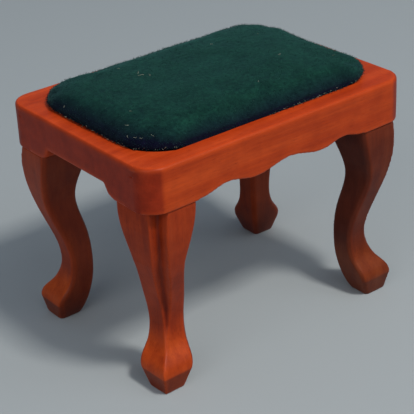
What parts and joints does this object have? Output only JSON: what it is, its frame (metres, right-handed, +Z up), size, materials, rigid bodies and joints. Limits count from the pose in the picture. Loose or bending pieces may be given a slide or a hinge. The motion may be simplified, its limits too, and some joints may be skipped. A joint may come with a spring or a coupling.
{
  "type": "upholstered stool",
  "caption": "Doll's-house dressing stool with cabriole legs, arched wooden rails and a lift-out padded seat covered in green velvet.",
  "frame": {"origin": "on the floor, under the middle of the stool, level with the soles of the legs", "axes": "+X along the long side to the right as one faces the front rail, +Y from the front rail to the back rail, +Z up"},
  "size_m": [0.0464, 0.0336, 0.0382],
  "materials": {
    "rail_wood": "stained and thinly polished, satin",
    "leg_wood": "stained and thinly polished, satin",
    "plain_wood": "bare, sanded",
    "board_wood": "bare thin board",
    "wadding": "soft wadding",
    "velvet": "cut pile velvet"
  },
  "bodies": {
    "frame": {"front_rail": "rail_wood", "back_rail": "rail_wood", "left_rail": "rail_wood", "right_rail": "rail_wood", "front_left_leg": "leg_wood", "front_right_leg": "leg_wood", "back_left_leg": "leg_wood", "back_right_leg": "leg_wood", "front_left_dowel": "plain_wood", "front_right_dowel": "plain_wood", "back_left_dowel": "plain_wood", "back_right_dowel": "plain_wood", "front_left_block": "rail_wood", "front_right_block": "rail_wood", "back_left_block": "rail_wood", "back_right_block": "rail_wood"},
    "seat": {"seat_board": "board_wood", "seat_padding": "wadding", "seat_cover": "velvet"}
  },
  "joints": [
    {"name": "seat_lift", "type": "slide", "parent": "frame", "child": "seat", "axis": [0, 0, 1], "range_m": [0, 0.012]}
  ]
}
